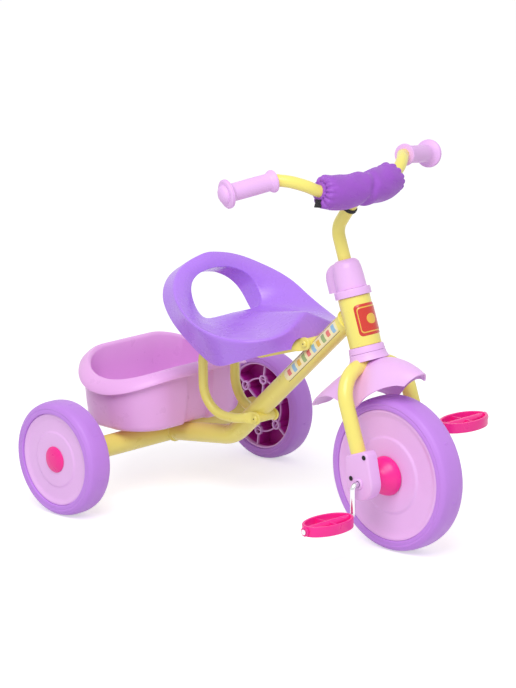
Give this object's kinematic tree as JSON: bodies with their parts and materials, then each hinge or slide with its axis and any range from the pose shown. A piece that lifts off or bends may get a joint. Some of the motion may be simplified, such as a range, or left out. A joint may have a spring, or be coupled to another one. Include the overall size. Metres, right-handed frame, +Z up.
{
  "type": "toddler tricycle",
  "caption": "Small child's pedal tricycle with a steel tube frame, moulded bucket seat with a loop back, rear basket, padded handlebar and front mudguard.",
  "frame": {"origin": "centre of the bounding box's bottom face, on the floor between the wheels", "axes": "+X forward, +Y to the rider's left, +Z up"},
  "size_m": [0.7724, 0.5242, 0.6194],
  "materials": {
    "yellow_paint": "glossy powder-coated steel tube, pale yellow",
    "pink_plastic": "semi-gloss moulded polypropylene, pale pink-lilac",
    "basket_plastic": "semi-gloss moulded polypropylene, orchid pink",
    "purple_plastic": "glossy moulded polypropylene, violet",
    "purple_tyre": "satin moulded EVA foam tyre, purple",
    "magenta_plastic": "semi-gloss moulded plastic, magenta",
    "chrome_rod": "bright plated steel rod",
    "zinc_steel": "zinc-plated steel",
    "dark_steel": "black-finished steel screws and bolts",
    "purple_fabric": "padded woven polyester cover, deep purple"
  },
  "bodies": {
    "frame": {"axle_beam": "yellow_paint", "head_tube": "yellow_paint", "main_tube": "yellow_paint", "seat_strut_left": "yellow_paint", "seat_strut_right": "yellow_paint", "headset_cup_bottom": "pink_plastic", "headset_cup_top": "pink_plastic", "basket": "basket_plastic", "seat": "purple_plastic", "rear_axle": "zinc_steel", "axle_washer_left": "zinc_steel", "axle_washer_right": "zinc_steel", "axle_push_nut_left": "zinc_steel", "axle_push_nut_right": "zinc_steel", "strut_bolt_front": "dark_steel", "strut_bolt_rear": "dark_steel", "strut_nut_front": "dark_steel", "strut_nut_rear": "dark_steel", "seat_screw_front_left": "dark_steel", "seat_screw_front_right": "dark_steel", "seat_screw_rear_left": "dark_steel", "seat_screw_rear_right": "dark_steel", "basket_screw_left": "dark_steel", "basket_screw_right": "dark_steel"},
    "steering": {"fork": "yellow_paint", "fork_crown_cover": "pink_plastic", "mudguard": "pink_plastic", "fork_end_cover_left": "pink_plastic", "fork_end_cover_right": "pink_plastic", "cover_screw_upper_left": "dark_steel", "cover_screw_lower_left": "dark_steel", "cover_screw_upper_right": "dark_steel", "cover_screw_lower_right": "dark_steel", "handlebar_post": "yellow_paint", "handlebar": "yellow_paint", "stem_cap": "pink_plastic", "post_clamp": "zinc_steel", "post_clamp_bolt": "dark_steel", "grip_left": "pink_plastic", "grip_right": "pink_plastic", "handlebar_pad": "purple_fabric"},
    "front_wheel": {"front_tyre": "purple_tyre", "front_wheel_disc_left": "pink_plastic", "front_wheel_disc_right": "pink_plastic", "hub_flange_left": "magenta_plastic", "hub_flange_right": "magenta_plastic", "crank": "chrome_rod", "pedal_push_nut_left": "zinc_steel", "pedal_push_nut_right": "zinc_steel"},
    "left_pedal": {"pedal_left": "magenta_plastic"},
    "right_pedal": {"pedal_right": "magenta_plastic"},
    "left_rear_wheel": {"rear_tyre_left": "purple_tyre", "rear_wheel_left": "pink_plastic", "rear_hub_cap_left": "magenta_plastic"},
    "right_rear_wheel": {"rear_tyre_right": "purple_tyre", "rear_wheel_right": "pink_plastic", "rear_hub_cap_right": "magenta_plastic"}
  },
  "joints": [
    {"name": "steering_turn", "type": "hinge", "parent": "frame", "child": "steering", "pos_m": [0.26115, 0, 0.125], "axis": [-0.3239, 0, 0.9461], "range_deg": [-45, 45]},
    {"name": "front_wheel_spin", "type": "hinge", "parent": "steering", "child": "front_wheel", "pos_m": [0.26115, 0, 0.125], "axis": [0, 1, 0], "continuous": true},
    {"name": "left_pedal_spin", "type": "hinge", "parent": "front_wheel", "child": "left_pedal", "pos_m": [0.26115, 0.1575, 0.1766], "axis": [0, 1, 0], "continuous": true},
    {"name": "right_pedal_spin", "type": "hinge", "parent": "front_wheel", "child": "right_pedal", "pos_m": [0.26115, -0.1575, 0.0734], "axis": [0, 1, 0], "continuous": true},
    {"name": "left_rear_wheel_spin", "type": "hinge", "parent": "frame", "child": "left_rear_wheel", "pos_m": [-0.27115, 0.2366, 0.0958], "axis": [0, 1, 0], "continuous": true},
    {"name": "right_rear_wheel_spin", "type": "hinge", "parent": "frame", "child": "right_rear_wheel", "pos_m": [-0.27115, -0.2366, 0.0958], "axis": [0, 1, 0], "continuous": true}
  ]
}
